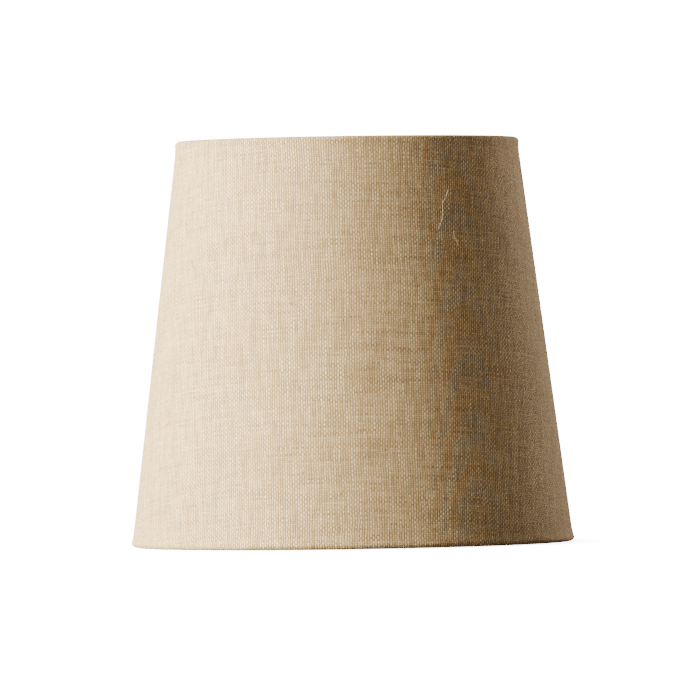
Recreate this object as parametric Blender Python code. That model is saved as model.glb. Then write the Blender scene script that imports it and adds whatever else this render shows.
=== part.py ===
"""Tapered linen lamp shade with rolled rims.

Linen is laminated to a stiff liner, bent to a cone and lapped at the back. At each rim the
linen is rolled round a steel wire ring. Three wire arms rise from the bottom ring to a
pressed fitter ring, which seats on a lampholder, and a loose plastic reducer lies in it.

Metres, +Z up. The shade stands on its lower rim at z = 0, its axis is Z and its seam is at
the back, at +Y.
"""
import math

import bmesh
import bpy
from mathutils import Matrix, Vector

# Overall sizes, over the rolled rims
BOTTOM_DIAMETER = 0.230
TOP_DIAMETER = 0.1785
HEIGHT = 0.210

# Sheets
CLOTH = 0.0006
LINER = 0.0005
TAPE = 0.0003
TAPE_WIDTH = 0.012
LAP_WIDTH = 0.010
LAP_SLOPE = 0.006
LAP_EDGE_RUN = 0.00015
RIM_SWELL = 0.0006
RIM_SWELL_LENGTH = 0.006
LINER_JOINT = 0.0008

# Wire frame
RING_WIRE = 0.003
ARM_WIRE = 0.0028
ARM_COUNT = 3
ARM_BEND = 0.006
ARM_REST = 0.004
NOTCH_CLEARANCE = 0.0005
NOTCH_START = 0.0005

# Fitter ring and the reducer that lies in it
FITTER_HOLE = 0.042
FITTER_WIDTH = 0.010
FITTER_THICKNESS = 0.0015
FITTER_HEIGHT = 0.040
FITTER_EDGE = 0.0003
FITTER_RECESS = 0.0004
REDUCER_HOLE = 0.029
REDUCER_FIT = 0.0004
REDUCER_FLANGE = 0.0022
REDUCER_PLATE = 0.0014
REDUCER_SLEEVE = 0.0012
REDUCER_DEPTH = 0.0035
FLANGE_FIT = 0.0008

# Room left between pieces that touch
GAP = 0.0003

# Facets
COLUMNS = 60
COLUMN_STEP = 360 / COLUMNS
HEM_SIDES = 10
HEM_STEP = 360 / HEM_SIDES
HEM_TURN = 7
FITTER_COLUMNS = 48
BEND_STEPS = 4

# Places worked out from the sizes
ROLL = RING_WIRE / 2 + GAP + CLOTH
ROLL_FLAT = ROLL * math.cos(math.radians(HEM_STEP / 2))
BOTTOM_WIRE_Z = ROLL_FLAT
TOP_WIRE_Z = HEIGHT - ROLL_FLAT
BOTTOM_WIRE_R = BOTTOM_DIAMETER / 2 - ROLL
TOP_WIRE_R = TOP_DIAMETER / 2 - ROLL
LINER_BOTTOM_Z = BOTTOM_WIRE_Z + RING_WIRE / 2 + GAP
LINER_TOP_Z = TOP_WIRE_Z - RING_WIRE / 2 - GAP
FITTER_TOP_Z = FITTER_HEIGHT + FITTER_THICKNESS
FITTER_OUTER_R = FITTER_HOLE / 2 + FITTER_WIDTH
FLANGE_R = FITTER_HOLE / 2 + REDUCER_FLANGE
BACK = 90.0


def clear_scene():
    for item in list(bpy.data.objects):
        bpy.data.objects.remove(item, do_unlink=True)


def material(name, colour, roughness, metallic=0.0):
    made = bpy.data.materials.new(name)
    made.use_nodes = True
    shader = made.node_tree.nodes["Principled BSDF"]
    shader.inputs["Base Color"].default_value = (*colour, 1.0)
    shader.inputs["Roughness"].default_value = roughness
    shader.inputs["Metallic"].default_value = metallic
    made.diffuse_color = (*colour, 1.0)
    return made


def add(name, data, finish, parent=None):
    """Puts mesh or curve data in the scene under its node's name."""
    data.materials.append(finish)
    item = bpy.data.objects.new(name, data)
    bpy.context.scene.collection.objects.link(item)
    item.parent = parent
    return item


def add_empty(name, location):
    item = bpy.data.objects.new(name, None)
    item.location = location
    bpy.context.scene.collection.objects.link(item)
    return item


def at_angle(radius, height, degrees):
    """The point at a radius and height, turned about the axis from +X."""
    turn = math.radians(degrees)
    return Vector((radius * math.cos(turn), radius * math.sin(turn), height))


def on_facet(radius, degrees):
    """The radius that lies on the shade's flat facets, whose corners are at the given radius."""
    half = math.radians(COLUMN_STEP / 2)
    from_middle = math.radians(degrees % COLUMN_STEP) - half
    return radius * math.cos(half) / math.cos(from_middle)


def arc(centre_r, centre_z, radius, first, last, steps):
    """Points (radius, height, angle) along an arc of the section, 0 degrees pointing outward."""
    points = []
    for i in range(steps + 1):
        degrees = first + (last - first) * i / steps
        turn = math.radians(degrees)
        points.append(
            (centre_r + radius * math.cos(turn), centre_z + radius * math.sin(turn), degrees)
        )
    return points


def skin(name, rings, closed):
    """A solid through rings of points, joined end to end or else capped at both ends."""
    bm = bmesh.new()
    rows = [[bm.verts.new(point) for point in ring] for ring in rings]
    spans = list(zip(rows, rows[1:] + rows[:1])) if closed else list(zip(rows, rows[1:]))
    for row, after in spans:
        for j in range(len(row)):
            k = (j + 1) % len(row)
            bm.faces.new((row[j], row[k], after[k], after[j]))
    if not closed:
        bm.faces.new(rows[0])
        bm.faces.new(rows[-1])
    bmesh.ops.recalc_face_normals(bm, faces=bm.faces)
    mesh = bpy.data.meshes.new(name)
    bm.to_mesh(mesh)
    bm.free()
    mesh.shade_smooth()
    mesh.set_sharp_from_angle(angle=math.radians(30))
    return mesh


def turned(name, section, columns):
    """A full turn of a closed section of (radius, height) points."""
    rings = []
    for i in range(columns):
        degrees = 360 * i / columns
        rings.append([at_angle(radius, height, degrees) for radius, height in section])
    return skin(name, rings, closed=True)


def cone_radius(height):
    """Outer radius of the plain cone, which is less than the rims by their swell."""
    share = (height - BOTTOM_WIRE_Z) / (TOP_WIRE_Z - BOTTOM_WIRE_Z)
    return (BOTTOM_DIAMETER + (TOP_DIAMETER - BOTTOM_DIAMETER) * share) / 2 - RIM_SWELL


def wall_radius(height):
    """Outer radius of the cover between the wires: the cone, swelling a little at each rim."""
    near = min(height - BOTTOM_WIRE_Z, TOP_WIRE_Z - height)
    return cone_radius(height) + RIM_SWELL * max(0.0, 1 - near / RIM_SWELL_LENGTH) ** 2


def cover_line(depth):
    """The cover's section at a depth under its face, from one raw edge to the other.

    Each point is (radius, height, share of the lap's thickness that it takes).
    """
    turn = HEM_STEP * HEM_TURN
    lower = arc(BOTTOM_WIRE_R, BOTTOM_WIRE_Z, ROLL - depth, -turn, 0, HEM_TURN)
    upper = arc(TOP_WIRE_R, TOP_WIRE_Z, ROLL - depth, 0, turn, HEM_TURN)
    rise = [RIM_SWELL_LENGTH * part / 3 for part in (1, 2, 3)]
    heights = [BOTTOM_WIRE_Z + step for step in rise]
    heights += [TOP_WIRE_Z - step for step in reversed(rise)]
    line = [(r, z, max(0.0, math.cos(math.radians(a)))) for r, z, a in lower]
    line += [(wall_radius(z) - depth, z, 1.0) for z in heights]
    line += [(r, z, max(0.0, math.cos(math.radians(a)))) for r, z, a in upper]
    return line


def lap_angles():
    """Angles of the lap's free edge, of the end of its flat, and of the foot of its slope."""
    mean_radius = (BOTTOM_DIAMETER + TOP_DIAMETER) / 4
    width = math.degrees(LAP_WIDTH / mean_radius)
    slope = math.degrees(LAP_SLOPE / mean_radius)
    edge = BACK - width / 2
    return edge, edge + width, edge + width + slope


def lap_height(degrees):
    """How far the lap stands over the cover at an angle: one cloth, sloping off on one side."""
    edge, crest, foot = lap_angles()
    if degrees < edge or degrees >= foot:
        return 0.0
    if degrees <= crest:
        return CLOTH
    return CLOTH * (foot - degrees) / (foot - crest)


def make_cover(finish):
    """The linen: cone, rolled rims with their raw edges inside, and the lap at the back."""
    edge, crest, foot = lap_angles()
    step_foot = edge - math.degrees(LAP_EDGE_RUN / BOTTOM_WIRE_R)
    angles = [COLUMN_STEP * i for i in range(COLUMNS)]
    angles = sorted(set(angles + [step_foot, edge, crest, foot]))
    rings = []
    for degrees in angles:
        lift = lap_height(degrees)
        ring = []
        for radius, height, share in cover_line(0.0):
            ring.append(at_angle(on_facet(radius, degrees) + lift * share, height, degrees))
        for radius, height, _ in reversed(cover_line(CLOTH)):
            ring.append(at_angle(on_facet(radius, degrees), height, degrees))
        rings.append(ring)
    return add("linen_cover", skin("linen_cover", rings, closed=True), finish)


def under_cover(degrees, height, depth):
    """The point at a depth under the plain cone of the cover's face, on its facets."""
    return at_angle(on_facet(cone_radius(height) - depth, degrees), height, degrees)


def make_liner(finish):
    """The stiff sheet behind the linen, its two edges meeting under the lap."""
    half = math.degrees(LINER_JOINT / 2 / (TOP_DIAMETER / 2))
    angles = [BACK + half]
    angles += [BACK + COLUMN_STEP * i for i in range(1, COLUMNS)]
    angles.append(BACK + 360 - half)
    outer = CLOTH + GAP
    inner = outer + LINER
    rings = []
    for degrees in angles:
        rings.append([
            under_cover(degrees, LINER_BOTTOM_Z, outer),
            under_cover(degrees, LINER_TOP_Z, outer),
            under_cover(degrees, LINER_TOP_Z, inner),
            under_cover(degrees, LINER_BOTTOM_Z, inner),
        ])
    return add("shade_liner", skin("shade_liner", rings, closed=False), finish)


def make_seam_tape(finish):
    """The strip inside that bonds the liner's two edges, clear of both rolled rims."""
    outer = CLOTH + GAP + LINER + GAP
    inner = outer + TAPE
    low = BOTTOM_WIRE_Z + ROLL + GAP
    high = TOP_WIRE_Z - ROLL - GAP
    at_low = math.degrees(TAPE_WIDTH / BOTTOM_DIAMETER)
    at_high = math.degrees(TAPE_WIDTH / TOP_DIAMETER)
    rings = []
    for side in (-1, 0, 1):
        rings.append([
            under_cover(BACK + side * at_low, low, outer),
            under_cover(BACK + side * at_high, high, outer),
            under_cover(BACK + side * at_high, high, inner),
            under_cover(BACK + side * at_low, low, inner),
        ])
    return add("seam_tape", skin("seam_tape", rings, closed=False), finish)


def make_ring_wire(name, radius, height, finish):
    round_wire = arc(radius, 0, RING_WIRE / 2, 0, 360 - HEM_STEP, HEM_SIDES - 1)
    section = [(r, z) for r, z, _ in round_wire]
    ring = add(name, turned(name, section, COLUMNS), finish)
    ring.location.z = height
    return ring


def make_fitter_ring(finish, parent):
    """A pressed washer with eased edges, its underside at the parent's height.

    A shallow recess in its top takes the reducer's flange.
    """
    inner = FITTER_HOLE / 2
    ease = FITTER_EDGE
    top = FITTER_THICKNESS
    recess = top - FITTER_RECESS
    section = [
        (inner + ease, 0),
        (FITTER_OUTER_R - ease, 0),
        (FITTER_OUTER_R, ease),
        (FITTER_OUTER_R, top - ease),
        (FITTER_OUTER_R - ease, top),
        (FLANGE_R + FLANGE_FIT, top),
        (FLANGE_R + FLANGE_FIT, recess),
        (inner + ease, recess),
        (inner, recess - ease),
        (inner, ease),
    ]
    return add("fitter_ring", turned("fitter_ring", section, FITTER_COLUMNS), finish, parent)


def arm_line():
    """The arm's centre line in the plane y = 0: butt end, bend, and tip on the fitter ring."""
    tip = Vector((FITTER_OUTER_R - ARM_REST, 0, FITTER_TOP_Z + GAP + ARM_WIRE / 2))
    bend = Vector((FITTER_OUTER_R + ARM_BEND / 2, 0, tip.z))
    wire = Vector((BOTTOM_WIRE_R, 0, BOTTOM_WIRE_Z))
    butt = wire + (bend - wire).normalized() * (RING_WIRE / 2 + GAP)
    return butt, bend, tip


def bent(start, corner, end, radius, steps):
    """A line with one rounded corner, in a plane of constant y."""
    back = (start - corner).normalized()
    on = (end - corner).normalized()
    half = back.angle(on) / 2
    inset = radius / math.tan(half)
    centre = corner + (back + on).normalized() * (radius / math.sin(half))
    first = corner + back * inset - centre
    turn = (math.pi - 2 * half) / steps
    axis = first.cross(corner + on * inset - centre).normalized()
    points = [start]
    for i in range(steps + 1):
        points.append(centre + Matrix.Rotation(turn * i, 3, axis) @ first)
    points.append(end)
    return points


def make_arms(finish, parent):
    """The struts that carry the fitter ring: one bent wire, used at each angle."""
    butt, bend, tip = arm_line()
    curve = bpy.data.curves.new("fitter_arm", "CURVE")
    curve.dimensions = "3D"
    curve.bevel_depth = ARM_WIRE / 2
    curve.bevel_resolution = 2
    curve.use_fill_caps = True
    spline = curve.splines.new("POLY")
    points = bent(butt, bend, tip, ARM_BEND, BEND_STEPS)
    spline.points.add(len(points) - 1)
    drop = Vector((0, 0, parent.location.z))
    for knot, point in zip(spline.points, points):
        knot.co = (*(point - drop), 1.0)
    curve.materials.append(finish)
    for i in range(ARM_COUNT):
        arm = bpy.data.objects.new(f"fitter_arm_{i + 1}", curve)
        bpy.context.scene.collection.objects.link(arm)
        arm.parent = parent
        arm.rotation_euler.z = math.radians(arm_angle(i))


def arm_angle(i):
    """The arms stand evenly round, with the seam midway between two of them."""
    return BACK + 180 + 360 * i / ARM_COUNT


def notch_cover(cover):
    """Cuts the rolled linen away round the foot of each arm."""
    _, bend, _ = arm_line()
    wire = Vector((BOTTOM_WIRE_R, 0, BOTTOM_WIRE_Z))
    along = (bend - wire).normalized()
    tilt = along.to_track_quat("X", "Z").to_matrix().to_4x4()
    width = ARM_WIRE + 2 * NOTCH_CLEARANCE
    length = ROLL * 2
    middle = wire + along * (NOTCH_START + length / 2)
    bm = bmesh.new()
    for i in range(ARM_COUNT):
        place = (
            Matrix.Rotation(math.radians(arm_angle(i)), 4, "Z")
            @ Matrix.Translation(middle)
            @ tilt
            @ Matrix.Diagonal((length, width, width, 1.0))
        )
        bmesh.ops.create_cube(bm, size=1.0, matrix=place)
    bmesh.ops.recalc_face_normals(bm, faces=bm.faces)
    mesh = bpy.data.meshes.new("arm_notches")
    bm.to_mesh(mesh)
    bm.free()
    cutter = bpy.data.objects.new("arm_notches", mesh)
    bpy.context.scene.collection.objects.link(cutter)
    cutter.hide_render = True
    cutter.display_type = "WIRE"
    cut = cover.modifiers.new("arm_notches", "BOOLEAN")
    cut.operation = "DIFFERENCE"
    cut.object = cutter


def make_reducer(finish, parent):
    """A plastic ring that drops into the fitter ring and narrows it, with its flange on top."""
    outer = FITTER_HOLE / 2 - REDUCER_FIT
    inner = REDUCER_HOLE / 2
    base = GAP
    top = base + REDUCER_PLATE
    foot = base - REDUCER_DEPTH
    web = foot + REDUCER_SLEEVE
    section = [
        (inner, foot),
        (outer, foot),
        (outer, base),
        (FLANGE_R, base),
        (FLANGE_R, top),
        (outer - REDUCER_SLEEVE, top),
        (outer - REDUCER_SLEEVE, web),
        (inner + REDUCER_SLEEVE, web),
        (inner + REDUCER_SLEEVE, top),
        (inner, top),
    ]
    return add("reducer_ring", turned("reducer_ring", section, FITTER_COLUMNS), finish, parent)


def main():
    clear_scene()
    linen = material("natural_linen", (0.62, 0.53, 0.40), 0.9)
    backing = material("white_liner", (0.86, 0.85, 0.82), 0.45)
    adhesive = material("clear_tape", (0.80, 0.79, 0.74), 0.3)
    wire = material("white_wire", (0.82, 0.82, 0.80), 0.35)
    steel = material("pressed_steel", (0.60, 0.60, 0.60), 0.3, 1.0)
    plastic = material("white_plastic", (0.85, 0.85, 0.83), 0.4)

    cover = make_cover(linen)
    notch_cover(cover)
    make_liner(backing)
    make_seam_tape(adhesive)
    make_ring_wire("top_ring_wire", TOP_WIRE_R, TOP_WIRE_Z, wire)
    make_ring_wire("bottom_ring_wire", BOTTOM_WIRE_R, BOTTOM_WIRE_Z, wire)

    fitter = add_empty("fitter_place", (0, 0, FITTER_HEIGHT))
    make_fitter_ring(steel, fitter)
    make_arms(wire, fitter)
    make_reducer(plastic, add_empty("reducer_place", (0, 0, FITTER_TOP_Z - FITTER_RECESS)))


main()
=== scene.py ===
"""The looks of the tapered linen lamp shade: cloth, liner, wires, fitter and reducer.

Metres, +Z up. The shade stands on its lower rim at z = 0, its axis is Z, its front is at -Y and
its seam at +Y. Every place comes from the loaded frame.
"""
import math

import bmesh
import bpy
from mathutils import Matrix, Vector


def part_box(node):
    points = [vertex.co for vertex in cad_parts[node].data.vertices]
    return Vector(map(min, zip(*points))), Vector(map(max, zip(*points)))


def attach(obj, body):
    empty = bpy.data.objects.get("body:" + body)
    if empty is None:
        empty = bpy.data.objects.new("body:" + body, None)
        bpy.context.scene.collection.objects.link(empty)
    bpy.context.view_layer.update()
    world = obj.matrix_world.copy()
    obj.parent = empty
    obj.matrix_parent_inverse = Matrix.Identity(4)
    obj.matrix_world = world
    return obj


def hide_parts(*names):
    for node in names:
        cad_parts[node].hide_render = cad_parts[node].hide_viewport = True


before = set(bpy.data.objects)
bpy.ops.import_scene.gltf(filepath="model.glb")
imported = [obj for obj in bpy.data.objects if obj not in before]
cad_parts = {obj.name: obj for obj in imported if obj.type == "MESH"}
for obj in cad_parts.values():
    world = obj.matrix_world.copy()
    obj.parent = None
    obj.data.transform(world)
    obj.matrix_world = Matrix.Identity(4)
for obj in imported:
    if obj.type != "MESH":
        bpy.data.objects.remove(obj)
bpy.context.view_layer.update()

# Thicknesses and clearances, as they are in the frame
CLOTH = 0.0006
LINER = 0.0005
TAPE = 0.0003
GAP = 0.0003
RING_WIRE = 0.003
ARM_WIRE = 0.0028
ROLL = RING_WIRE / 2 + GAP + CLOTH
HEM_TURN = math.radians(252)
SWELL = 0.0006
SWELL_LENGTH = 0.006
TAPE_WIDTH = 0.012
LINER_JOINT = 0.0008

# The lap at the back
BACK = math.radians(90)
LAP_WIDTH = 0.010
LAP_SLOPE = 0.006
LAP_AIR = 0.00004

# Threads of the linen
WARP_PITCH = 0.00127
WEFT_PITCH = 0.00114
UNEVENNESS = 0.00008
FIBRE = {"Density": 9000.0, "Length": 0.0016, "Thickness": 0.00006, "Seed": 5}
FIBRES_FROM = 0.003
FRAY_LENGTH = 0.0011
FRAY_THICKNESS = 0.0006

# Loose strands: name, the turn in degrees and height of each end, and sway in degrees
STRAND = 0.00024
STRANDS = (
    ("long_loose_strand", (-60.8, 0.162), (-56.3, 0.182), 0.7),
    ("short_loose_strand", (-54.3, 0.153), (-55.5, 0.161), 0.4),
)

# Lamp-holder end
FITTER_HOLE_R = 0.021
FITTER_EDGE = 0.0003
FITTER_RECESS = 0.0004
FLANGE_FIT = 0.0008
ARM_COUNT = 3
ARM_FIRST = math.radians(270)
ARM_BEND = 0.006
ARM_REST = 0.004
WELD_LENGTH = 0.0022
NOTCH_R = 0.0021
NOTCH_START = 0.0005
REDUCER_HOLE_R = 0.0145
REDUCER_FIT = 0.0004
REDUCER_WALL = 0.0012
REDUCER_PLATE = 0.0014
REDUCER_EDGE = 0.00025

# Set
CAMERA_LENS = 436.9
CAMERA_PLACE = (0.0, -4.410, 0.1119)
CAMERA_TIP = -0.00255
CAMERA_ROLL = -0.01537
WHITE_OUT = 18.0
WARM_WHITE = (1.0, 0.93, 0.84)
KEY_WHITE = (0.965, 0.955, 0.825)
FILL = 0.40
SOFT_BOX = (0.4, 0.6)
SOFT_BOX_RISE = math.radians(15)
SOFT_BOX_DISTANCE = 1.6
SOFT_BOXES = (
    ("side_box", -86, 148.0, KEY_WHITE),
    ("front_box", -58, 92.0, KEY_WHITE),
    ("back_box", 138, 21.5, WARM_WHITE),
)
FLOOR_DROP = 0.0003
FLOOR_SHADOW = (0.112, 0.145)
FLOOR_BOUNCE = 0.2
FLOOR_GLOW = 0.4

# Fineness
COLUMNS = 384
WALL_ROWS = 30
SWELL_ROWS = 5
HEM_ROWS = 18
TURNED_COLUMNS = 128


def ring_place(node):
    """Radius and height of a ring wire's middle."""
    low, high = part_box(node)
    return high.x - RING_WIRE / 2, (low.z + high.z) / 2


LOW_R, LOW_Z = ring_place("bottom_ring_wire")
HIGH_R, HIGH_Z = ring_place("top_ring_wire")
RIM_LOW_R = LOW_R + ROLL - SWELL
RIM_HIGH_R = HIGH_R + ROLL - SWELL
MEAN_R = (LOW_R + HIGH_R) / 2 + ROLL
SLANT = math.atan2(RIM_LOW_R - RIM_HIGH_R, HIGH_Z - LOW_Z)
FLAT_TURN = math.sin(SLANT)
HEM_SQUASH = LOW_Z / ROLL


# ---------------------------------------------------------------- node trees


class Value:
    """An output of a node. Sums on it add Math nodes to its tree."""

    def __init__(self, board, socket):
        self.board = board
        self.socket = socket

    def sum(self, operation, *others):
        return self.board.sum(operation, self, *others)

    def __add__(self, other):
        return self.sum("ADD", other)

    def __radd__(self, other):
        return self.sum("ADD", other)

    def __sub__(self, other):
        return self.sum("SUBTRACT", other)

    def __rsub__(self, other):
        return self.board.sum("SUBTRACT", other, self)

    def __mul__(self, other):
        return self.sum("MULTIPLY", other)

    def __rmul__(self, other):
        return self.sum("MULTIPLY", other)

    def __truediv__(self, other):
        return self.sum("DIVIDE", other)

    def floor(self):
        return self.sum("FLOOR")

    def fraction(self):
        return self.sum("FRACT")

    def root(self):
        return self.sum("SQRT")

    def sine(self):
        return self.sum("SINE")

    def cosine(self):
        return self.sum("COSINE")

    def above(self, other):
        return self.sum("GREATER_THAN", other)

    def larger(self, other):
        return self.sum("MAXIMUM", other)

    def ramp(self, low, high):
        """0 below low, 1 above high, and smooth between them."""
        settings = {"interpolation_type": "SMOOTHSTEP"}
        sockets = {"Value": self, "From Min": low, "From Max": high}
        return self.board.node("ShaderNodeMapRange", settings, sockets)


class Board:
    """A node tree that is being filled."""

    def __init__(self, tree):
        self.tree = tree

    def node(self, kind, settings, sockets, out=0):
        """Adds a node: its settings first, then the values or links of its sockets."""
        made = self.tree.nodes.new(kind)
        for name, value in settings.items():
            if name == "stops":
                self.set_stops(made.color_ramp, value)
            else:
                setattr(made, name, value)
        by_key = {socket.identifier: socket for socket in made.inputs}
        for key, value in sockets.items():
            if isinstance(key, int) or key not in by_key:
                socket = made.inputs[key]
            else:
                socket = by_key[key]
            if isinstance(value, Value):
                self.tree.links.new(value.socket, socket)
            else:
                socket.default_value = value
        if isinstance(out, str):
            by_key = {socket.identifier: socket for socket in made.outputs}
            return Value(self, by_key.get(out) or made.outputs[out])
        return Value(self, made.outputs[out]) if len(made.outputs) else made

    def set_stops(self, ramp, stops):
        """Colours at places along a ramp."""
        while len(ramp.elements) < len(stops):
            ramp.elements.new(1.0)
        for element, (place, colour) in zip(ramp.elements, stops):
            element.position = place
            element.color = (*colour, 1.0)

    def sum(self, operation, *values):
        return self.node("ShaderNodeMath", {"operation": operation}, dict(enumerate(values)))

    def vector_sum(self, operation, first, second, out="Vector"):
        sockets = {0: first, 1: second}
        return self.node("ShaderNodeVectorMath", {"operation": operation}, sockets, out)

    def vector(self, x=0.0, y=0.0, z=0.0):
        return self.node("ShaderNodeCombineXYZ", {}, {"X": x, "Y": y, "Z": z})

    def place(self):
        """Where a shaded point is in its piece, in metres."""
        return self.node("ShaderNodeTexCoord", {}, {}, "Object")

    def parts(self, vector):
        made = self.node("ShaderNodeSeparateXYZ", {}, {"Vector": vector}).socket.node
        return [Value(self, socket) for socket in made.outputs]

    def noise(self, vector, scale, detail=2.0, roughness=0.5):
        """Noise from 0 to 1."""
        sockets = {"Vector": vector, "Scale": scale, "Detail": detail, "Roughness": roughness}
        return self.node("ShaderNodeTexNoise", {}, sockets, "Fac")

    def colours(self, factor, stops):
        """A colour from a ramp."""
        return self.node("ShaderNodeValToRGB", {"stops": stops}, {"Fac": factor}, "Color")

    def blend(self, factor, first, second):
        """A colour between two."""
        sockets = {"Factor_Float": factor, "A_Color": first, "B_Color": second}
        return self.node("ShaderNodeMix", {"data_type": "RGBA"}, sockets, "Result_Color")

    def tone(self, colour, amount):
        """A colour made darker or lighter by a value, 1 leaving it as it is."""
        sockets = {"Vector": colour, "Scale": amount}
        return self.node("ShaderNodeVectorMath", {"operation": "SCALE"}, sockets, "Vector")

    def bump(self, height, distance):
        return self.node("ShaderNodeBump", {}, {"Height": height, "Distance": distance}, "Normal")

    def principled(self, sockets):
        return self.node("ShaderNodeBsdfPrincipled", {}, sockets)

    def mixed(self, share, first, second):
        """Two shaders, the second by its share."""
        return self.node("ShaderNodeMixShader", {}, {0: share, 1: first, 2: second})

    def random(self, low, high, seed):
        """A number drawn for each point."""
        sockets = {"Min_001": low, "Max_001": high, "Seed": seed}
        return self.node("FunctionNodeRandomValue", {"data_type": "FLOAT"}, sockets, "Value_001")

    def tube(self, line, sides, thickness):
        """A round wire or fibre along a curve."""
        outline = self.node(
            "GeometryNodeCurvePrimitiveCircle",
            {"mode": "RADIUS"},
            {"Resolution": sides, "Radius": thickness / 2.0},
            "Curve",
        )
        sockets = {"Curve": line, "Profile Curve": outline, "Fill Caps": True}
        return self.node("GeometryNodeCurveToMesh", {}, sockets)

    def placed(self, points, sockets):
        """Copies at points: the Instance socket's geometry, with its Rotation and Scale."""
        sockets = {"Points": points, **sockets}
        return self.node("GeometryNodeInstanceOnPoints", {}, sockets, "Instances")


def new_finish(name):
    """An empty material and the board of its nodes."""
    made = bpy.data.materials.new(name)
    made.use_nodes = True
    made.node_tree.nodes.clear()
    return made, Board(made.node_tree)


def show(board, shader):
    """Ends a material with its shader."""
    board.node("ShaderNodeOutputMaterial", {}, {"Surface": shader})


def rgb(red, green, blue):
    return (red, green, blue, 1.0)


# ---------------------------------------------------------------- finishes


def weave(board):
    """The plain weave on the flat cloth: each thread's number and height, and which is on top.

    Every other warp thread passes over a weft thread, and the holes lie between four threads.
    The painted light share is light and shade painted into the colour: a painted highlight on a
    thread's crown, brighter where a warp thread rides over, and painted shade in a hole.
    """
    cut = board.node("ShaderNodeUVMap", {"uv_map": "cut"}, {}, "UV")
    across, along, _ = board.parts(cut)
    wander = board.noise(board.vector(across * 9.0, along * 26.0), 1.0, 2.0)
    drift = board.noise(board.vector(across * 26.0, along * 9.0, 4.0), 1.0, 2.0)
    kink = board.noise(board.vector(across, along, 2.0), 210.0, 2.0)
    nudge = board.noise(board.vector(across, along, 9.0), 210.0, 2.0)
    warp = across / WARP_PITCH + wander * 1.5 + kink * 0.9
    weft = along / WEFT_PITCH + drift * 1.5 + nudge * 0.9
    warp_number = warp.floor()
    weft_number = weft.floor()

    # Hand-spun thickness: each thread swells and thins along its length
    warp_body = board.noise(board.vector(warp_number * 3.7, along * 130.0, 1.0), 1.0, 2.0)
    weft_body = board.noise(board.vector(across * 130.0, weft_number * 3.7, 7.0), 1.0, 2.0)
    warp_side = (warp.fraction() - 0.5) / (0.30 + warp_body * 0.28)
    weft_side = (weft.fraction() - 0.5) / (0.28 + weft_body * 0.30)
    warp_rib = (1.0 - warp_side * warp_side).larger(0.0)
    weft_rib = (1.0 - weft_side * weft_side).larger(0.0)
    warp_over = ((weft + warp_number) * math.pi).sine() * 0.5 + 0.5
    weft_over = 0.5 - ((warp + weft_number) * math.pi).sine() * 0.5
    warp_top = warp_rib.root() * (0.52 + warp_over * 0.48)
    weft_top = weft_rib.root() * (0.38 + weft_over * 0.50)
    bare = 1.0 - warp_rib
    painted_light_catch = warp_rib * (0.48 + warp_over * 0.52) + bare * weft_rib * weft_over * 0.55
    return {
        "across": across,
        "along": along,
        "warp": warp_number,
        "weft": weft_number,
        "height": warp_top.larger(weft_top),
        "warp_shows": warp_top.above(weft_top),
        "painted_catch": painted_light_catch,
    }


def linen_finish():
    """Natural linen: straw threads of uneven tone, slubs, dark flecks, and painted shade in the gaps
    with painted highlights on the threads.
    """
    made, board = new_finish("natural_linen_weave")
    cloth = weave(board)
    across, along = cloth["across"], cloth["along"]
    warp_tone = board.noise(board.vector(cloth["warp"] * 5.3, along * 45.0, 2.0), 1.0, 2.0)
    weft_tone = board.noise(board.vector(across * 36.0, cloth["weft"] * 5.3, 5.0), 1.0, 2.0)
    thread = weft_tone + (warp_tone - weft_tone) * cloth["warp_shows"]
    colour = board.colours(thread, [
        (0.34, (0.451, 0.287, 0.136)),
        (0.50, (0.575, 0.391, 0.199)),
        (0.66, (0.671, 0.478, 0.261)),
    ])

    # Slubs are thick soft places, longer along the thread than across it
    warp_slub = board.noise(board.vector(cloth["warp"] * 9.1, along * 60.0, 11.0), 1.0, 1.0)
    weft_slub = board.noise(board.vector(across * 60.0, cloth["weft"] * 9.1, 13.0), 1.0, 1.0)
    slub = weft_slub + (warp_slub - weft_slub) * cloth["warp_shows"]
    pale = slub.ramp(0.60, 0.74)
    dark = slub.ramp(0.41, 0.27)
    colour = board.blend(pale * 0.45, colour, rgb(0.797, 0.599, 0.353))
    colour = board.blend(dark * 0.65, colour, rgb(0.330, 0.232, 0.128))

    # Bits of bark from the flax
    speck = board.noise(board.vector(across * 420.0, along * 300.0, 3.0), 1.0, 1.0)
    colour = board.blend(speck.ramp(0.765, 0.80) * 0.8, colour, rgb(0.14, 0.10, 0.075))

    # Fine streaks of single fibres, soft clouds of tone, and painted shade down in the gaps, with
    # painted highlights on the thread crowns
    warp_fibre = board.noise(board.vector(across * 9000.0, along * 900.0), 1.0, 2.0)
    weft_fibre = board.noise(board.vector(across * 900.0, along * 9000.0), 1.0, 2.0)
    fibre = weft_fibre + (warp_fibre - weft_fibre) * cloth["warp_shows"]
    cloud = board.noise(board.vector(across, along), 22.0, 3.0)
    crossing = board.noise(board.vector(cloth["warp"] * 7.7, cloth["weft"] * 7.7, 6.0), 1.0, 0.0)
    shade = (0.92 + fibre * 0.16) * (0.91 + cloud * 0.18) * (0.80 + crossing * 0.4)
    # Painted light and shade: thread crowns painted lighter and holes painted darker, in the base
    # colour itself
    shade = shade * (0.28 + cloth["painted_catch"] * 1.22)
    colour = board.tone(colour, shade)

    relief = cloth["height"] + slub * 0.16 + fibre * 0.10
    bump = board.bump(relief, 0.00025)
    cloth_side = board.principled({
        "Base Color": colour,
        "Roughness": 0.86 + fibre * 0.10,
        "Specular IOR Level": 0.22,
        "Sheen Weight": 0.18,
        "Sheen Roughness": 0.45,
        "Sheen Tint": rgb(0.93, 0.80, 0.60),
        "Normal": bump,
    })
    through = {"Color": board.tone(colour, 0.95), "Normal": bump}
    glow = board.node("ShaderNodeBsdfTranslucent", {}, through)
    show(board, board.mixed(0.30 - cloth["painted_catch"] * 0.10, cloth_side, glow))
    return made


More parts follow.
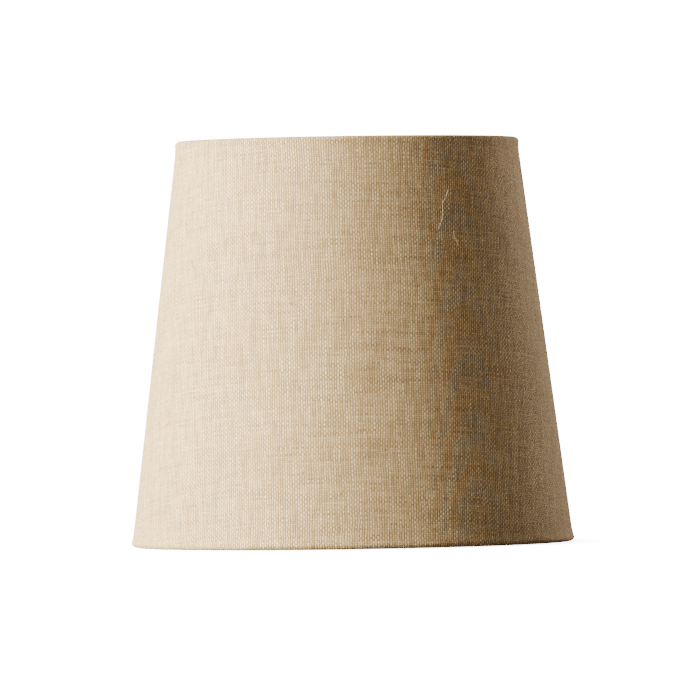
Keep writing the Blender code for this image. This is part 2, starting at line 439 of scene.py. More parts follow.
def thread_finish():
    """Loose fibres and cut thread ends, a little paler than the cloth."""
    made, board = new_finish("loose_linen_thread")
    place = board.place()
    strand = board.noise(place, 900.0, 2.0)
    colour = board.colours(strand, [(0.3, (0.55, 0.43, 0.29)), (0.7, (0.80, 0.70, 0.55))])
    fluff = board.principled({
        "Base Color": colour,
        "Roughness": 0.8 + strand * 0.15,
        "Specular IOR Level": 0.25,
        "Sheen Weight": 0.3,
        "Normal": board.bump(strand, 0.00005),
    })
    show(board, fluff)
    return made


def liner_finish():
    """White styrene sheet: satin, faintly pebbled, letting some light through."""
    made, board = new_finish("white_styrene")
    place = board.place()
    pebble = board.noise(place, 1400.0, 2.0)
    waves = board.noise(place, 26.0, 2.0)
    dust = board.noise(place, 160.0, 4.0, 0.65)
    colour = board.blend(dust.ramp(0.45, 0.8) * 0.35, rgb(0.86, 0.85, 0.82), rgb(0.78, 0.76, 0.71))
    satin = board.principled({
        "Base Color": colour,
        "Roughness": 0.40 + dust * 0.14,
        "Normal": board.bump(pebble * 0.03 + waves * 0.6, 0.0012),
    })
    glow = board.node("ShaderNodeBsdfTranslucent", {}, {"Color": board.tone(colour, 0.97)})
    show(board, board.mixed(0.38, satin, glow))
    return made


def tape_finish():
    """Clear bonding tape, slightly yellowed, with fine lengthwise ripples."""
    made, board = new_finish("clear_bonding_tape")
    place = board.place()
    x, _, z = board.parts(place)
    ripple = board.noise(board.vector(x * 1500.0, 0.0, z * 60.0), 1.0, 2.0)
    smear = board.noise(place, 120.0, 3.0)
    colour = board.blend(smear, rgb(0.80, 0.78, 0.70), rgb(0.72, 0.69, 0.58))
    film = board.principled({
        "Base Color": colour,
        "Roughness": 0.16 + smear * 0.2,
        "Coat Weight": 0.4,
        "Normal": board.bump(ripple, 0.00006),
    })
    show(board, film)
    return made


def enamel_finish():
    """White stoved enamel on wire: orange-peel gloss, thin and rusty grey at scuffs."""
    made, board = new_finish("white_enamel")
    place = board.place()
    peel = board.noise(place, 900.0, 2.0)
    scuff = board.noise(place, 210.0, 5.0, 0.7)
    worn = scuff.ramp(0.66, 0.74)
    colour = board.blend(scuff, rgb(0.80, 0.80, 0.77), rgb(0.86, 0.855, 0.83))
    colour = board.blend(worn * 0.6, colour, rgb(0.42, 0.39, 0.35))
    paint = board.principled({
        "Base Color": colour,
        "Roughness": 0.30 + scuff * 0.2,
        "Coat Weight": 0.25,
        "Coat Roughness": 0.12,
        "Normal": board.bump(peel * 0.5 - worn * 0.8, 0.00006),
    })
    show(board, paint)
    return made


def plated_finish():
    """Zinc-plated pressed steel: turned marks round the ring, hazy patches and small scratches."""
    made, board = new_finish("zinc_plated_steel")
    place = board.place()
    x, y, z = board.parts(place)
    radius = (x * x + y * y).root()
    turned = board.noise(board.vector(radius * 6500.0, z * 6500.0), 1.0, 2.0)
    haze = board.noise(place, 130.0, 4.0, 0.6)
    tumble = board.noise(board.vector(x * 2600.0, y * 500.0, z * 900.0), 1.0, 3.0)
    scratch = tumble.ramp(0.66, 0.71)
    colour = board.blend(haze, rgb(0.62, 0.625, 0.63), rgb(0.50, 0.50, 0.49))
    colour = board.blend(scratch * 0.5, colour, rgb(0.80, 0.80, 0.80))
    metal = board.principled({
        "Base Color": colour,
        "Metallic": 1.0,
        "Roughness": 0.24 + haze * 0.22 + turned * 0.06,
        "Normal": board.bump(turned * 0.4 - scratch, 0.00003),
    })
    show(board, metal)
    return made


def moulded_finish():
    """Moulded white plastic: fine spark texture, flow tint and a little grime."""
    made, board = new_finish("moulded_white_plastic")
    place = board.place()
    spark = board.noise(place, 2600.0, 2.0)
    flow = board.noise(place, 45.0, 2.0)
    grime = board.noise(place, 260.0, 5.0, 0.7)
    colour = board.blend(flow, rgb(0.86, 0.855, 0.83), rgb(0.80, 0.79, 0.75))
    colour = board.blend(grime.ramp(0.60, 0.80) * 0.3, colour, rgb(0.62, 0.59, 0.53))
    plastic = board.principled({
        "Base Color": colour,
        "Roughness": 0.36 + grime * 0.16,
        "Subsurface Weight": 0.08,
        "Subsurface Radius": (0.004, 0.004, 0.003),
        "Subsurface Scale": 0.4,
        "Normal": board.bump(spark, 0.00004),
    })
    show(board, plastic)
    return made


# ---------------------------------------------------------------- geometry


def add_piece(name, mesh, finish):
    """Puts a mesh in the scene as a piece, at the origin."""
    mesh.materials.clear()
    mesh.materials.append(finish)
    piece = bpy.data.objects.new(name, mesh)
    bpy.context.scene.collection.objects.link(piece)
    return piece


def around(radius, height, angle):
    return Vector((radius * math.cos(angle), radius * math.sin(angle), height))


def cone_radius(height):
    """Outer radius of the cover without the swell at its rims."""
    share = (height - LOW_Z) / (HIGH_Z - LOW_Z)
    return RIM_LOW_R + (RIM_HIGH_R - RIM_LOW_R) * share


def swell(height):
    near = min(height - LOW_Z, HIGH_Z - height)
    return SWELL * max(0.0, 1 - near / SWELL_LENGTH) ** 2


def section_places():
    """Places along the cloth's section, from the raw edge of one hem to that of the other.

    Each is a part of the section and how far along it: an angle round the wire in a hem, a
    height on the wall.
    """
    places = []
    for i in range(HEM_ROWS):
        places.append(("low hem", -HEM_TURN * (1 - i / HEM_ROWS)))
    for i in range(SWELL_ROWS):
        places.append(("wall", LOW_Z + SWELL_LENGTH * i / SWELL_ROWS))
    first, last = LOW_Z + SWELL_LENGTH, HIGH_Z - SWELL_LENGTH
    for i in range(WALL_ROWS):
        places.append(("wall", first + (last - first) * i / WALL_ROWS))
    for i in range(SWELL_ROWS):
        places.append(("wall", last + SWELL_LENGTH * i / SWELL_ROWS))
    for i in range(HEM_ROWS + 1):
        places.append(("high hem", HEM_TURN * i / HEM_ROWS))
    return places


def section_point(part, place, depth):
    """Radius and height of a place on the section, at a depth under the cloth's face."""
    if part == "wall":
        return cone_radius(place) + swell(place) - depth, place
    centre_r, centre_z = (LOW_R, LOW_Z) if part == "low hem" else (HIGH_R, HIGH_Z)
    reach = ROLL - depth
    return centre_r + reach * math.cos(place), centre_z + reach * HEM_SQUASH * math.sin(place)


def lap_share(part, place):
    """How much of the lap's thickness a place takes: all of it but under the hems."""
    return 1.0 if part == "wall" else max(0.0, math.cos(place))


def lap_angles():
    """Angles of the lap's free edge, the end of its flat, and the foot of its slope."""
    edge = BACK - LAP_WIDTH / MEAN_R / 2
    crest = BACK + LAP_WIDTH / MEAN_R / 2
    return edge, crest, crest + LAP_SLOPE / MEAN_R


def column_places():
    """Where the cloth's columns stand: the angle, the lap's lift there, and the underlap's share.

    The cloth starts with its free edge on top of the lap and ends hidden under it.
    """
    edge, crest, foot = lap_angles()
    places = [(edge + (crest - edge) * i / 5, 1.0, 0.0) for i in range(5)]
    for i in range(6):
        share = i / 6
        lift = 0.5 + 0.5 * math.cos(math.pi * share)
        places.append((crest + (foot - crest) * share, lift, 0.0))
    last = edge + 2 * math.pi - 0.002 / MEAN_R
    for i in range(COLUMNS):
        places.append((foot + (last - foot) * i / COLUMNS, 0.0, 0.0))
    for i in range(7):
        places.append((last, 0.0, i / 6))
    return places


def waver(angle, along, seed):
    """Smooth unevenness from -1 to 1 that closes round the shade."""
    waves = ((3, 9, 0.4), (8, 23, 0.3), (19, 47, 0.2), (43, 80, 0.1))
    total = 0.0
    for i, (turns, lengthwise, weight) in enumerate(waves):
        total += weight * math.sin(turns * angle + lengthwise * along + seed * (i + 1) * 1.7)
    return total


def cloth_mesh():
    """The cover as one C-shaped sheet with a front, a back and four closed edges."""
    edge, crest, _ = lap_angles()
    places = section_places()
    columns = column_places()
    runs = section_runs(places)
    underlap = crest + 2 * math.pi
    trimmed = edge + 2 * math.pi - 0.0001 / MEAN_R
    bm = bmesh.new()
    uv_layer = bm.loops.layers.uv.new("cut")
    flat = {}
    faces = {}
    for depth in (0.0, CLOTH):
        rows = []
        for (part, place), run in zip(places, runs):
            radius, height = section_point(part, place, depth)
            share = lap_share(part, place)
            end = underlap if part == "wall" else trimmed
            row = []
            for angle, lift, under in columns:
                turn = angle + (end - angle) * under
                raised = lift * share * (CLOTH + LAP_AIR)
                raised += UNEVENNESS * waver(turn, height, 1.0) * (1.0 if part == "wall" else 0.6)
                vertex = bm.verts.new(around(radius + raised, height, turn))
                spread = (turn - BACK - math.pi) * FLAT_TURN
                flat[vertex] = (run * math.sin(spread), -run * math.cos(spread))
                row.append(vertex)
            rows.append(row)
        faces[depth] = rows
    outer, inner = faces[0.0], faces[CLOTH]
    last_row, last_column = len(outer) - 1, len(outer[0]) - 1
    for i in range(last_row):
        for j in range(last_column):
            bm.faces.new((outer[i][j], outer[i][j + 1], outer[i + 1][j + 1], outer[i + 1][j]))
            bm.faces.new((inner[i][j], inner[i + 1][j], inner[i + 1][j + 1], inner[i][j + 1]))
    for j in range(last_column):
        bm.faces.new((outer[0][j + 1], outer[0][j], inner[0][j], inner[0][j + 1]))
        bm.faces.new((
            outer[last_row][j], outer[last_row][j + 1],
            inner[last_row][j + 1], inner[last_row][j],
        ))
    for i in range(last_row):
        bm.faces.new((outer[i][0], outer[i + 1][0], inner[i + 1][0], inner[i][0]))
        bm.faces.new((
            outer[i + 1][last_column], outer[i][last_column],
            inner[i][last_column], inner[i + 1][last_column],
        ))
    for face in bm.faces:
        for loop in face.loops:
            loop[uv_layer].uv = flat[loop.vert]
        face.smooth = True
    mesh = bpy.data.meshes.new("linen_cloth")
    bm.to_mesh(mesh)
    bm.free()
    mesh.set_sharp_from_angle(angle=math.radians(50))
    return mesh


def section_runs(places):
    """Distance of each place from the tip of the flat pattern's fan, larger lower down."""
    line = [Vector(section_point(part, place, 0.0)) for part, place in places]
    lengths = [0.0]
    for point, after in zip(line, line[1:]):
        lengths.append(lengths[-1] + (after - point).length)
    start = places.index(("wall", LOW_Z))
    return [RIM_LOW_R / FLAT_TURN + lengths[start] - length for length in lengths]


def flat_size(places):
    """Width, length and area of the cloth's cut, a fan."""
    runs = section_runs(places)
    outer, inner = max(runs), min(runs)
    edge, crest, _ = lap_angles()
    spread = (crest - edge + 2 * math.pi) * FLAT_TURN
    width = 2 * outer * math.sin(spread / 2)
    length = outer - inner * math.cos(spread / 2)
    return width, length, spread * (outer * outer - inner * inner) / 2


def arm_line():
    """The arm's line in the plane y = 0: its foot on the ring wire, its corner and its tip."""
    fitter_low, fitter_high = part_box("fitter_ring")
    outer = fitter_high.x
    height = fitter_high.z + GAP + ARM_WIRE / 2
    tip = Vector((outer - ARM_REST, 0, height))
    corner = Vector((outer + ARM_BEND / 2, 0, height))
    wire = Vector((LOW_R, 0, LOW_Z))
    foot = wire + (corner - wire).normalized() * (RING_WIRE / 2 + GAP / 3)
    return wire, foot, corner, tip


def notch_cloth(cloth):
    """Cuts the rolled linen away round the foot of each arm."""
    wire, _, corner, _ = arm_line()
    along = (corner - wire).normalized()
    bm = bmesh.new()
    for i in range(ARM_COUNT):
        place = (
            Matrix.Rotation(ARM_FIRST + 2 * math.pi * i / ARM_COUNT, 4, "Z")
            @ Matrix.Translation(wire + along * (NOTCH_START + ROLL))
            @ along.to_track_quat("Z", "Y").to_matrix().to_4x4()
        )
        bmesh.ops.create_cone(
            bm, cap_ends=True, segments=24, radius1=NOTCH_R, radius2=NOTCH_R,
            depth=2 * ROLL, matrix=place,
        )
    bmesh.ops.recalc_face_normals(bm, faces=bm.faces)
    mesh = bpy.data.meshes.new("arm_notches")
    bm.to_mesh(mesh)
    bm.free()
    cutter = bpy.data.objects.new("arm_notches", mesh)
    bpy.context.scene.collection.objects.link(cutter)
    cut = cloth.modifiers.new("notches", "BOOLEAN")
    cut.operation = "DIFFERENCE"
    cut.object = cutter
    settle(cloth)
    bpy.data.objects.remove(cutter)
    bpy.data.meshes.remove(mesh)


def settle(piece):
    """Turns what a piece's modifiers make of it into its plain mesh."""
    bpy.context.view_layer.update()
    evaluated = piece.evaluated_get(bpy.context.evaluated_depsgraph_get())
    mesh = bpy.data.meshes.new_from_object(evaluated)
    piece.modifiers.clear()
    piece.data = mesh


# ---------------------------------------------------------------- geometry node trees


def new_tree(name, inputs):
    """A geometry tree with named inputs, its board, and the values of the inputs."""
    tree = bpy.data.node_groups.new(name, "GeometryNodeTree")
    tree.interface.new_socket("Geometry", in_out="INPUT", socket_type="NodeSocketGeometry")
    tree.interface.new_socket("Geometry", in_out="OUTPUT", socket_type="NodeSocketGeometry")
    kinds = {"length": "NodeSocketFloat", "count": "NodeSocketInt", "finish": "NodeSocketMaterial"}
    for label, kind in inputs.items():
        tree.interface.new_socket(label, in_out="INPUT", socket_type=kinds[kind])
    board = Board(tree)
    entry = tree.nodes.new("NodeGroupInput")
    values = {socket.name: Value(board, socket) for socket in entry.outputs if socket.name}
    return tree, board, values


def end_tree(board, geometry, finish):
    """Realizes instances, sets the finish and ends the tree."""
    real = board.node("GeometryNodeRealizeInstances", {}, {"Geometry": geometry})
    done = board.node("GeometryNodeSetMaterial", {}, {"Geometry": real, "Material": finish})
    board.node("NodeGroupOutput", {}, {"Geometry": done})


def grow(name, tree, inputs, finish, start=None):
    """Runs a geometry tree on a mesh or curve and keeps the result as a piece's plain mesh."""
    data = start or bpy.data.meshes.new(name)
    holder = bpy.data.objects.new(name, data)
    bpy.context.scene.collection.objects.link(holder)
    growth = holder.modifiers.new("growth", "NODES")
    growth.node_group = tree
    inputs = dict(inputs, Finish=finish)
    for item in tree.interface.items_tree:
        if item.in_out == "INPUT" and item.name in inputs:
            growth[item.identifier] = inputs[item.name]
    bpy.context.view_layer.update()
    evaluated = holder.evaluated_get(bpy.context.evaluated_depsgraph_get())
    mesh = bpy.data.meshes.new_from_object(evaluated)
    bpy.data.objects.remove(holder)
    return add_piece(name, mesh, finish)


def sheet_tree():
    """A flat grid bent to part of a cone."""
    tree, board, given = new_tree("bent_sheet", {
        "Columns": "count",
        "Rows": "count",
        "Low Radius": "length",
        "High Radius": "length",
        "Low Height": "length",
        "High Height": "length",
        "Middle": "length",
        "Low Spread": "length",
        "High Spread": "length",
        "Finish": "finish",
    })
    grid = board.node(
        "GeometryNodeMeshGrid",
        {},
        {"Size X": 1.0, "Size Y": 1.0, "Vertices X": given["Columns"], "Vertices Y": given["Rows"]},
        "Mesh",
    )
    place = board.node("GeometryNodeInputPosition", {}, {})
    across, along, _ = board.parts(place)
    up = along + 0.5
    spread = given["Low Spread"] + (given["High Spread"] - given["Low Spread"]) * up
    turn = given["Middle"] + spread * across
    radius = given["Low Radius"] + (given["High Radius"] - given["Low Radius"]) * up
    height = given["Low Height"] + (given["High Height"] - given["Low Height"]) * up
    bent = board.vector(radius * turn.cosine(), radius * turn.sine(), height)
    moved = board.node("GeometryNodeSetPosition", {}, {"Geometry": grid, "Position": bent})
    smooth = board.node("GeometryNodeSetShadeSmooth", {}, {"Geometry": moved})
    end_tree(board, smooth, given["Finish"])
    return tree


def wire_tree():
    """Round wire along every curve it is given, repeated evenly about the axis."""
    tree, board, given = new_tree("wire_round_axis", {
        "Wire": "length",
        "Sides": "count",
        "Copies": "count",
        "First Angle": "length",
        "Finish": "finish",
    })
    tube = board.tube(given["Geometry"], given["Sides"], given["Wire"])
    smooth = board.node("GeometryNodeSetShadeSmooth", {}, {"Geometry": tube})
    spots = board.node(
        "GeometryNodeMeshLine",
        {"mode": "OFFSET"},
        {"Count": given["Copies"], "Offset": (0.0, 0.0, 0.0)},
        "Mesh",
    )
    number = board.node("GeometryNodeInputIndex", {}, {})
    angle = given["First Angle"] + number * (2 * math.pi) / given["Copies"]
    turned = board.vector(0.0, 0.0, angle)
    placed = board.placed(spots, {"Instance": smooth, "Rotation": turned})
    end_tree(board, placed, given["Finish"])
    return tree


def fluff_tree():
    """Short bent fibres standing off the face of the cloth."""
    tree, board, given = new_tree("cloth_fluff", {
        "Density": "length",
        "Length": "length",
        "Thickness": "length",
        "Seed": "count",
        "Finish": "finish",
    })
    normal = board.node("GeometryNodeInputNormal", {}, {}, "Normal")
    place = board.node("GeometryNodeInputPosition", {}, {})
    x, y, z = board.parts(place)
    facing = board.vector_sum("DOT_PRODUCT", normal, board.vector(x, y, 0.0), "Value")
    spots = board.node(
        "GeometryNodeDistributePointsOnFaces",
        {},
        {
            "Mesh": given["Geometry"],
            "Selection": facing.above(0.03) * z.above(FIBRES_FROM),
            "Density": given["Density"],
            "Seed": given["Seed"],
        },
        "Points",
    )
    turned = spots.socket.node.outputs["Rotation"]
    arc = board.node(
        "GeometryNodeCurvePrimitiveBezierSegment",
        {},
        {
            "Resolution": 4,
            "Start": (0.0, 0.0, -0.1),
            "Start Handle": (0.25, 0.0, 0.25),
            "End Handle": (0.7, 0.1, 0.32),
            "End": (1.0, 0.35, 0.12),
        },
        "Curve",
    )
    hair = board.tube(arc, 3, given["Thickness"] / given["Length"])
    spin = board.random(0.0, 2 * math.pi, given["Seed"])
    turn = board.node("FunctionNodeEulerToRotation", {}, {"Euler": board.vector(0.0, 0.0, spin)})
    twist = board.node(
        "FunctionNodeRotateRotation",
        {"rotation_space": "LOCAL"},
        {"Rotation": Value(board, turned), "Rotate By": turn},
    )
    size = board.random(0.4, 1.3, 8) * given["Length"]
    placed = board.placed(spots, {
        "Instance": hair,
        "Rotation": twist,
        "Scale": board.vector(size, size, size),
    })
    end_tree(board, placed, given["Finish"])
    return tree


def fray_tree():
    """Cut thread ends sticking out along a raw edge, one for each warp thread."""
    tree, board, given = new_tree("raw_edge_fray", {
        "Spacing": "length",
        "Length": "length",
        "Thickness": "length",
        "Seed": "count",
        "Finish": "finish",
    })
    spots = board.node(
        "GeometryNodeCurveToPoints",
        {"mode": "LENGTH"},
        {"Curve": given["Geometry"], "Length": given["Spacing"]},
        "Points",
    )
    tuft = board.node(
        "GeometryNodeMeshCone",
        {"fill_type": "NGON"},
        {
            "Vertices": 4,
            "Radius Top": given["Thickness"] / 5.0,
            "Radius Bottom": given["Thickness"] / 2.0,
            "Depth": given["Length"],
        },
        "Mesh",
    )
    place = board.node("GeometryNodeInputPosition", {}, {})
    inward = board.vector_sum("MULTIPLY", place, (-1.0, -1.0, 0.0))
    lean = board.node(
        "FunctionNodeRandomValue",
        {"data_type": "FLOAT_VECTOR"},
        {"Min": (-0.035, -0.035, -0.02), "Max": (0.035, 0.035, 0.05), "Seed": given["Seed"]},
        "Value",
    )
    aim = board.vector_sum("ADD", inward, lean)
    turned = board.node(
        "FunctionNodeAlignRotationToVector", {"axis": "Z"}, {"Vector": aim}, "Rotation"
    )
    size = board.random(0.35, 1.2, given["Seed"])
    placed = board.placed(spots, {
        "Instance": tuft,
        "Rotation": turned,
        "Scale": board.vector(1.0, 1.0, size),
    })
    end_tree(board, placed, given["Finish"])
    return tree


# ---------------------------------------------------------------- pieces


def smooth_line(name, points, radii=None, closed=False):
    """A poly curve through points, with the wire's thickness at each as a share of the full one."""
    curve = bpy.data.curves.new(name, "CURVE")
    curve.dimensions = "3D"
    spline = curve.splines.new("POLY")
    spline.points.add(len(points) - 1)
    spline.use_cyclic_u = closed
    for i, (knot, point) in enumerate(zip(spline.points, points)):
        knot.co = (*point, 1.0)
        knot.radius = radii[i] if radii else 1.0
    return curve


def circle_line(name, radius, height, count, first=0.0, last=2 * math.pi):
    """Points round the axis, open unless they go all the way round."""
    closed = last - first > 2 * math.pi - 1e-6
    steps = count if closed else count - 1
    points = [around(radius, height, first + (last - first) * i / steps) for i in range(count)]
    return smooth_line(name, points, closed=closed)


def strand_curve(name, low, high, sway):
    """A loose fibre of the linen lying on its face between two places, each a turn and a height."""
    points = []
    for i in range(25):
        share = i / 24
        bend = math.sin(share * 7.0) * math.sin(share * math.pi)
        turn = math.radians(low[0] + (high[0] - low[0]) * share + sway * bend)
        height = low[1] + (high[1] - low[1]) * share
        lift = STRAND * 0.4 + 0.0006 * share ** 6
        points.append(around(cone_radius(height) + lift, height, turn))
    return smooth_line(name, points)


def arm_curve():
    """One strut: it flares into its weld on the ring wire, bends, and is pressed flat at its tip."""
    wire, foot, corner, tip = arm_line()
    back = (foot - corner).normalized()
    on = (tip - corner).normalized()
    half = back.angle(on) / 2
    inset = ARM_BEND / math.tan(half)
    centre = corner + (back + on).normalized() * (ARM_BEND / math.sin(half))
    first = corner + back * inset - centre
    turn = math.pi - 2 * half
    axis = first.cross(corner + on * inset - centre).normalized()
    points = []
    radii = []
    start = wire + (corner - wire).normalized() * RING_WIRE * 0.32
    for i in range(7):
        share = i / 6
        points.append(start.lerp(foot + (corner - foot).normalized() * WELD_LENGTH, share))
        radii.append(1.0 + 0.24 * (1 - share) ** 2)
    straight_end = corner + back * inset
    straight_start = points[-1]
    for i in range(1, 12):
        points.append(straight_start.lerp(straight_end, i / 12))
        radii.append(1.0)
    for i in range(11):
        points.append(centre + Matrix.Rotation(turn * i / 10, 3, axis) @ first)
        radii.append(1.0)
    last = points[-1]
    for i in range(1, 6):
        points.append(last.lerp(tip, i / 6))
        radii.append(1.0)
    points += [tip - on * 0.0003, tip]
    radii += [0.97, 0.78]
    return smooth_line("arm_line", points, radii)


def turned_mesh(name, section):
    """A full turn of a closed section of (radius, height) points, anticlockwise."""
    bm = bmesh.new()
    rings = []
    for i in range(TURNED_COLUMNS):
        angle = 2 * math.pi * i / TURNED_COLUMNS
        rings.append([bm.verts.new(around(r, z, angle)) for r, z in section])
    count = len(section)
    for ring, after in zip(rings, rings[1:] + rings[:1]):
        for j in range(count):
            k = (j + 1) % count
            bm.faces.new((ring[j], after[j], after[k], ring[k]))
    bmesh.ops.recalc_face_normals(bm, faces=bm.faces)
    for face in bm.faces:
        face.smooth = True
    mesh = bpy.data.meshes.new(name)
    bm.to_mesh(mesh)
    bm.free()
    mesh.set_sharp_from_angle(angle=math.radians(38))
    return mesh


def eased(section, radius, steps=3):
    """A closed section with every corner rounded by a radius, or less where a side is short."""
    result = []
    count = len(section)
    for i in range(count):
        before = Vector(section[i - 1])
        corner = Vector(section[i])
        after = Vector(section[(i + 1) % count])
        back, on = before - corner, after - corner
        reach = min(radius, back.length * 0.45, on.length * 0.45)
        start = corner + back.normalized() * reach
        end = corner + on.normalized() * reach
        for step in range(steps + 1):
            share = step / steps
            point = start * (1 - share) ** 2 + corner * 2 * share * (1 - share) + end * share**2
            result.append((point.x, point.y))
    return result


def fitter_mesh():
    """The pressed ring: its hole, eased edges and the recess for the reducer's flange."""
    low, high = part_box("fitter_ring")
    outer = high.x
    _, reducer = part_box("reducer_ring")
    seat = reducer.x + FLANGE_FIT
    floor = high.z - FITTER_RECESS
    section = [
        (FITTER_HOLE_R, low.z),
        (outer, low.z),
        (outer, high.z),
        (seat, high.z),
        (seat, floor),
        (FITTER_HOLE_R, floor),
    ]
    return turned_mesh("fitter_ring_fine", eased(section, FITTER_EDGE))


def reducer_mesh():
    """The moulded ring: sleeve, flange, and a web across to the wall of its own hole."""
    low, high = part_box("reducer_ring")
    flange = high.x
    sleeve = FITTER_HOLE_R - REDUCER_FIT
    base = high.z - REDUCER_PLATE
    web = low.z + REDUCER_WALL
    section = [
        (REDUCER_HOLE_R, low.z),
        (sleeve, low.z),
        (sleeve, base),
        (flange, base),
        (flange, high.z),
        (sleeve - REDUCER_WALL, high.z),
        (sleeve - REDUCER_WALL, web),
        (REDUCER_HOLE_R + REDUCER_WALL, web),
        (REDUCER_HOLE_R + REDUCER_WALL, high.z),
        (REDUCER_HOLE_R, high.z),
    ]
    return turned_mesh("reducer_ring_fine", eased(section, REDUCER_EDGE))


def make_pieces():
    """Every piece with its finish, by name."""
    linen = linen_finish()
    thread = thread_finish()
    styrene = liner_finish()
    tape = tape_finish()
    enamel = enamel_finish()
    plated = plated_finish()
    plastic = moulded_finish()

    cloth = add_piece("linen_cloth", cloth_mesh(), linen)
    notch_cloth(cloth)

    sheets = sheet_tree()
    wires = wire_tree()
    low, high = (corner.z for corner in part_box("shade_liner"))
    face = CLOTH + GAP
    joint = 2 * math.pi - LINER_JOINT / RIM_HIGH_R
    liner = grow("styrene_liner", sheets, {
        "Columns": COLUMNS // 2 + 1,
        "Rows": 13,
        "Low Radius": cone_radius(low) - face,
        "High Radius": cone_radius(high) - face,
        "Low Height": low,
        "High Height": high,
        "Middle": BACK + math.pi,
        "Low Spread": joint,
        "High Spread": joint,
    }, styrene)
    thicken(liner, LINER)

    tape_low, tape_high = (corner.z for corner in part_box("seam_tape"))
    face = CLOTH + GAP + LINER + GAP
    strip = grow("joint_tape", sheets, {
        "Columns": 13,
        "Rows": 33,
        "Low Radius": cone_radius(tape_low) - face,
        "High Radius": cone_radius(tape_high) - face,
        "Low Height": tape_low,
        "High Height": tape_high,
        "Middle": BACK,
        "Low Spread": TAPE_WIDTH / cone_radius(tape_low),
        "High Spread": TAPE_WIDTH / cone_radius(tape_high),
    }, tape)
    thicken(strip, TAPE)

    rings = {}
    for name, radius, height in (("lower", LOW_R, LOW_Z), ("upper", HIGH_R, HIGH_Z)):
        line = circle_line(f"{name}_ring_line", radius, height, 180)
        rings[name] = grow(f"{name}_rim_wire", wires, {
            "Wire": RING_WIRE, "Sides": 20, "Copies": 1, "First Angle": 0.0,
        }, enamel, line)
    arms = grow("fitter_struts", wires, {
        "Wire": ARM_WIRE, "Sides": 24, "Copies": ARM_COUNT, "First Angle": ARM_FIRST,
    }, enamel, arm_curve())

    fitter = add_piece("pressed_fitter", fitter_mesh(), plated)
    reducer = add_piece("moulded_reducer", reducer_mesh(), plastic)

    fluff = grow("cloth_fibres", fluff_tree(), FIBRE, thread, cloth.data.copy())
    strands = []
    for name, low, high, sway in STRANDS:
        strands.append(grow(name, wires, {
            "Wire": STRAND, "Sides": 8, "Copies": 1, "First Angle": 0.0,
        }, thread, strand_curve(f"{name}_line", low, high, sway)))
    edge, crest, _ = lap_angles()
    fray = []
    reach = ROLL - CLOTH / 2
    hems = (("lower", LOW_R, LOW_Z, -1), ("upper", HIGH_R, HIGH_Z, 1))
    for name, centre_r, centre_z, side in hems:
        turn = side * HEM_TURN
        radius = centre_r + reach * math.cos(turn)
        height = centre_z + reach * HEM_SQUASH * math.sin(turn)
        line = circle_line(f"{name}_raw_edge", radius, height, 240, crest, edge + 2 * math.pi)
        fray.append(grow(f"{name}_hem_fray", fray_tree(), {
            "Spacing": WARP_PITCH,
            "Length": FRAY_LENGTH,
            "Thickness": FRAY_THICKNESS,
            "Seed": 3 + side,
        }, thread, line))
    return {
        "cloth": cloth,
        "liner": liner,
        "tape": strip,
        "rings": rings,
        "arms": arms,
        "fitter": fitter,
        "reducer": reducer,
        "fluff": fluff,
        "fray": fray,
        "strands": strands,
    }


def thicken(piece, thickness):
    """Gives a bent sheet its thickness, inward from the face it was made on."""
    wall = piece.modifiers.new("thickness", "SOLIDIFY")
    wall.thickness = thickness
    wall.offset = -1.0
    settle(piece)


def assign(made):
    """Parents each piece to the body it rides on and hides the nodes it replaces; the finish slot
    listed in the table is not used.
    """
    struts = [f"fitter_arm_{i + 1}" for i in range(ARM_COUNT)]
    table = [
        (made["cloth"], "shade", ["linen_cover"], "natural_linen"),
        (made["liner"], "shade", ["shade_liner"], "white_liner"),
        (made["tape"], "shade", ["seam_tape"], "clear_tape"),
        (made["rings"]["lower"], "shade", ["bottom_ring_wire"], "white_wire"),
        (made["rings"]["upper"], "shade", ["top_ring_wire"], "white_wire"),
        (made["arms"], "shade", struts, "white_wire"),
        (made["fitter"], "shade", ["fitter_ring"], "pressed_steel"),
        (made["reducer"], "reducer", ["reducer_ring"], "white_plastic"),
        (made["fluff"], "shade", [], "natural_linen"),
        (made["fray"][0], "shade", [], "natural_linen"),
        (made["fray"][1], "shade", [], "natural_linen"),
    ]
    table += [(strand, "shade", [], "natural_linen") for strand in made["strands"]]
    for piece, body, nodes, slot in table:
        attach(piece, body)
        if nodes:
            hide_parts(*nodes)
    width, length, area = flat_size(section_places())
    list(made["fray"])
    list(made["strands"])


# ---------------------------------------------------------------- set


def add_camera():
    """Level with the middle of the shade, far off, and rolled a little."""
    data = bpy.data.cameras.new("camera")
    data.sensor_width = 36.0
    data.lens = CAMERA_LENS
    data.clip_end = 100.0
    camera = bpy.data.objects.new("camera", data)
    bpy.context.scene.collection.objects.link(camera)
    camera.matrix_world = (
        Matrix.Translation(CAMERA_PLACE)
        @ Matrix.Rotation(math.pi / 2 + CAMERA_TIP, 4, "X")
        @ Matrix.Rotation(CAMERA_ROLL, 4, "Z")
    )
    bpy.context.scene.camera = camera


def add_lights():
    """Two soft boxes on the left, and a weaker one behind on the right, aimed at the shade.

    Each is turned about the axis from the camera's side.
    """
    for name, turn, power, colour in SOFT_BOXES:
        data = bpy.data.lights.new(name, "AREA")
        data.shape = "RECTANGLE"
        data.size, data.size_y = SOFT_BOX
        data.energy = power
        data.color = colour
        light = bpy.data.objects.new(name, data)
        bpy.context.scene.collection.objects.link(light)
        angle = math.radians(turn - 90)
        out = Vector((math.cos(angle), math.sin(angle), math.tan(SOFT_BOX_RISE)))
        light.location = out.normalized() * SOFT_BOX_DISTANCE + Vector((0, 0, HIGH_Z / 2))
        light.rotation_euler = out.to_track_quat("Z", "Y").to_euler()


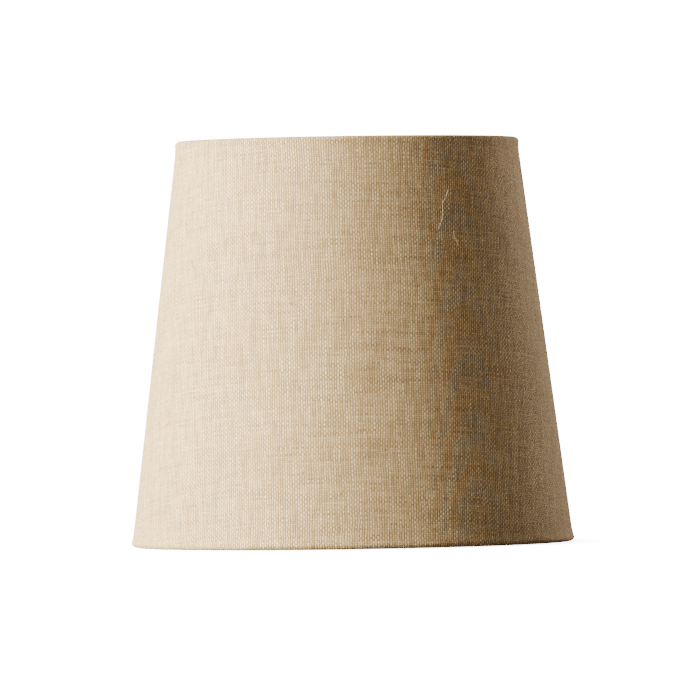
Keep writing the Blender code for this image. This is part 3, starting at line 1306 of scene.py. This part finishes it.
def add_world():
    """White where the camera sees it, and a dim even fill for the object."""
    world = bpy.data.worlds.new("studio")
    bpy.context.scene.world = world
    world.use_nodes = True
    world.node_tree.nodes.clear()
    board = Board(world.node_tree)
    seen = board.node("ShaderNodeLightPath", {}, {}, "Is Camera Ray")
    strength = FILL + seen * (WHITE_OUT - FILL)
    colour = board.blend(seen, rgb(*WARM_WHITE), rgb(1.0, 1.0, 1.0))
    backdrop = board.node("ShaderNodeBackground", {}, {"Color": colour, "Strength": strength})
    board.node("ShaderNodeOutputWorld", {}, {"Surface": backdrop})


def add_floor():
    """A pale floor under the rim that keeps a soft shadow close to it, open from below."""
    bm = bmesh.new()
    bmesh.ops.create_grid(bm, x_segments=1, y_segments=1, size=30.0)
    mesh = bpy.data.meshes.new("floor")
    bm.to_mesh(mesh)
    bm.free()
    made, board = new_finish("pale_floor")
    place = board.place()
    x, y, _ = board.parts(place)
    near = (x * x + y * y).root().ramp(FLOOR_SHADOW[1], FLOOR_SHADOW[0])
    grain = board.noise(place, 40.0, 3.0)
    pale = board.blend(grain, rgb(0.80, 0.80, 0.79), rgb(0.84, 0.84, 0.83))
    seen = board.node("ShaderNodeLightPath", {}, {}, "Is Camera Ray")
    matt = board.node("ShaderNodeBsdfDiffuse", {}, {"Color": board.tone(pale, FLOOR_BOUNCE)})
    bright = board.node("ShaderNodeBsdfDiffuse", {}, {"Color": board.tone(pale, 6.0)})
    white = board.node("ShaderNodeEmission", {}, {"Strength": WHITE_OUT})
    half = board.node("ShaderNodeEmission", {}, {"Strength": WHITE_OUT * FLOOR_GLOW})
    shadowed = board.node("ShaderNodeAddShader", {}, {0: bright, 1: half})
    floor_side = board.mixed(seen, matt, board.mixed(near, white, shadowed))
    below = board.node("ShaderNodeNewGeometry", {}, {}, "Backfacing")
    clear = board.node("ShaderNodeBsdfTransparent", {}, {})
    show(board, board.mixed(below, floor_side, clear))
    floor = add_piece("floor", mesh, made)
    floor.location.z = -FLOOR_DROP


def main():
    add_camera()
    made = make_pieces()
    assign(made)
    add_floor()
    add_world()
    add_lights()


main()
bpy.context.view_layer.update()
